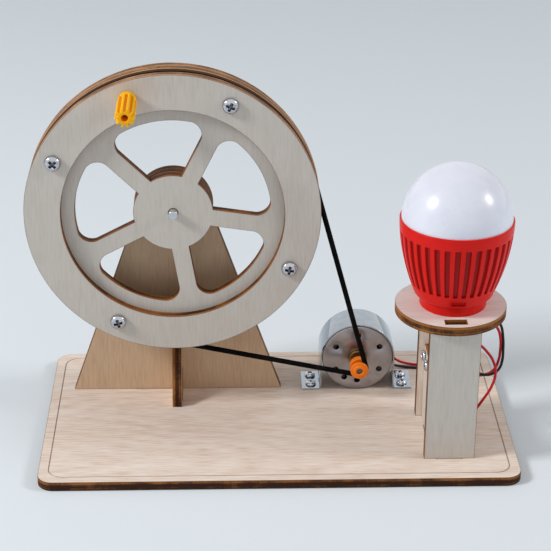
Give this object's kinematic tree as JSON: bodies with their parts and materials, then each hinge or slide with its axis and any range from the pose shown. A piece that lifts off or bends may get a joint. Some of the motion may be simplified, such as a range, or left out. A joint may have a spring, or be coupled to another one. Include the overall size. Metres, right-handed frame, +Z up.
{
  "type": "hand-crank generator model",
  "caption": "Plywood hand-crank generator model: a spoked flywheel with a crank knob turns a small motor through a belt and lights a bulb on a post.",
  "frame": {"origin": "middle of the base plate's underside", "axes": "+Z up, +X to the right along the base's long side, -Y to the front where the crank and the lamp face"},
  "size_m": [0.1564, 0.085, 0.1202],
  "materials": {
    "base_plywood": "pale sanded plywood with laser-burnt edges",
    "plywood": "pale sanded plywood with laser-burnt edges",
    "white_nylon": "moulded nylon",
    "bright_steel": "drawn bar",
    "screw_chrome": "bright plated",
    "motor_steel": "satin plated sheet",
    "strap_metal": "bright bent sheet",
    "brass": "bare brass",
    "dark_magnet": "sintered ferrite",
    "copper_wire": "enamelled copper",
    "orange_plastic": "moulded",
    "yellow_plastic": "moulded, toothed",
    "black_rubber": "matt round belt",
    "red_plastic": "glossy moulded, slotted",
    "frosted_dome": "frosted diffuser",
    "diode_lens": "clear resin",
    "red_insulation": "smooth wire insulation",
    "black_insulation": "smooth wire insulation"
  },
  "bodies": {
    "stand": {"base_plate": "base_plywood", "upright": "plywood", "brace": "plywood", "axle_bush": "white_nylon", "motor_can": "motor_steel", "motor_bearing": "brass", "motor_magnets": "dark_magnet", "motor_end_cap": "white_nylon", "motor_brushes": "brass", "motor_terminals": "brass", "drive_belt": "black_rubber", "motor_strap": "strap_metal", "strap_screws": "screw_chrome", "post_front_panel": "plywood", "post_rear_panel": "plywood", "post_web": "plywood", "terminal_screws": "screw_chrome", "terminal_nuts": "brass", "lamp_disc": "base_plywood", "bulb_shell": "red_plastic", "bulb_dome": "frosted_dome", "lamp_board": "white_nylon", "lamp_diode": "diode_lens", "motor_lead_red": "red_insulation", "motor_lead_black": "black_insulation", "lamp_lead_red": "red_insulation", "lamp_lead_black": "black_insulation"},
    "flywheel": {"front_ring": "plywood", "spoke_plate": "plywood", "middle_ring": "plywood", "rear_ring": "plywood", "hub_disc_front": "plywood", "hub_disc_rear": "plywood", "wheel_axle": "bright_steel", "axle_collar": "orange_plastic", "rim_screws": "screw_chrome", "crank_pin": "bright_steel"},
    "knob": {"crank_knob": "yellow_plastic"},
    "rotor": {"motor_shaft": "bright_steel", "armature_core": "motor_steel", "armature_windings": "copper_wire", "commutator": "copper_wire", "pulley": "orange_plastic"}
  },
  "joints": [
    {"name": "wheel_spin", "type": "hinge", "parent": "stand", "child": "flywheel", "pos_m": [-0.0332, 0.0075, 0.073], "axis": [0, -1, 0], "continuous": true},
    {"name": "knob_spin", "type": "hinge", "parent": "flywheel", "child": "knob", "pos_m": [-0.04637, -0.0056, 0.11235], "axis": [0, -1, 0], "continuous": true},
    {"name": "rotor_spin", "type": "hinge", "parent": "stand", "child": "rotor", "pos_m": [0.0279, 0.0075, 0.01505], "axis": [0, -1, 0], "continuous": true}
  ],
  "couplings": [
    {"joint": "rotor_spin", "follows": "wheel_spin", "ratio": 19.638}
  ]
}
